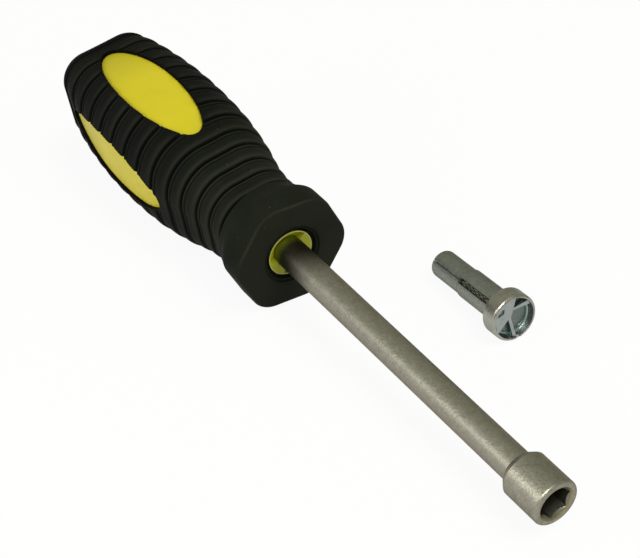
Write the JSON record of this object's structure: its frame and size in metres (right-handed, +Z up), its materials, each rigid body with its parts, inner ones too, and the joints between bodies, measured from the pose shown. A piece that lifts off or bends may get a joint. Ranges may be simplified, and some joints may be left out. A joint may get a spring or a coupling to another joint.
{
  "type": "hex nut driver with loose pin",
  "caption": "Hand driver with a hex socket on a round steel shaft and a ribbed soft grip with yellow oval pads, beside a loose cup-headed split-sleeve pin.",
  "frame": {"origin": "middle of the bounding box of the driver and its pin, on the bench that both lie on", "axes": "+X along the driver towards its socket, +Y to the side where the pin lies, +Z up"},
  "size_m": [0.1992, 0.0606, 0.0369],
  "materials": {
    "black_rubber": "matt moulded thermoplastic rubber",
    "yellow_plastic": "matt moulded plastic",
    "satin_steel": "satin nickel over steel",
    "zinc_steel": "bright zinc over steel",
    "spring_steel": "semi-gloss rolled spring steel"
  },
  "bodies": {
    "driver": {"rubber_grip": "black_rubber", "handle_core": "yellow_plastic", "shaft": "satin_steel", "hex_socket": "satin_steel"},
    "pin": {"cup_head": "zinc_steel", "split_sleeve": "spring_steel"}
  },
  "joints": [
    {"name": "pin_lift", "type": "slide", "parent": "driver", "child": "pin", "axis": [0, 0, 1], "range_m": [0, 0.1]}
  ]
}
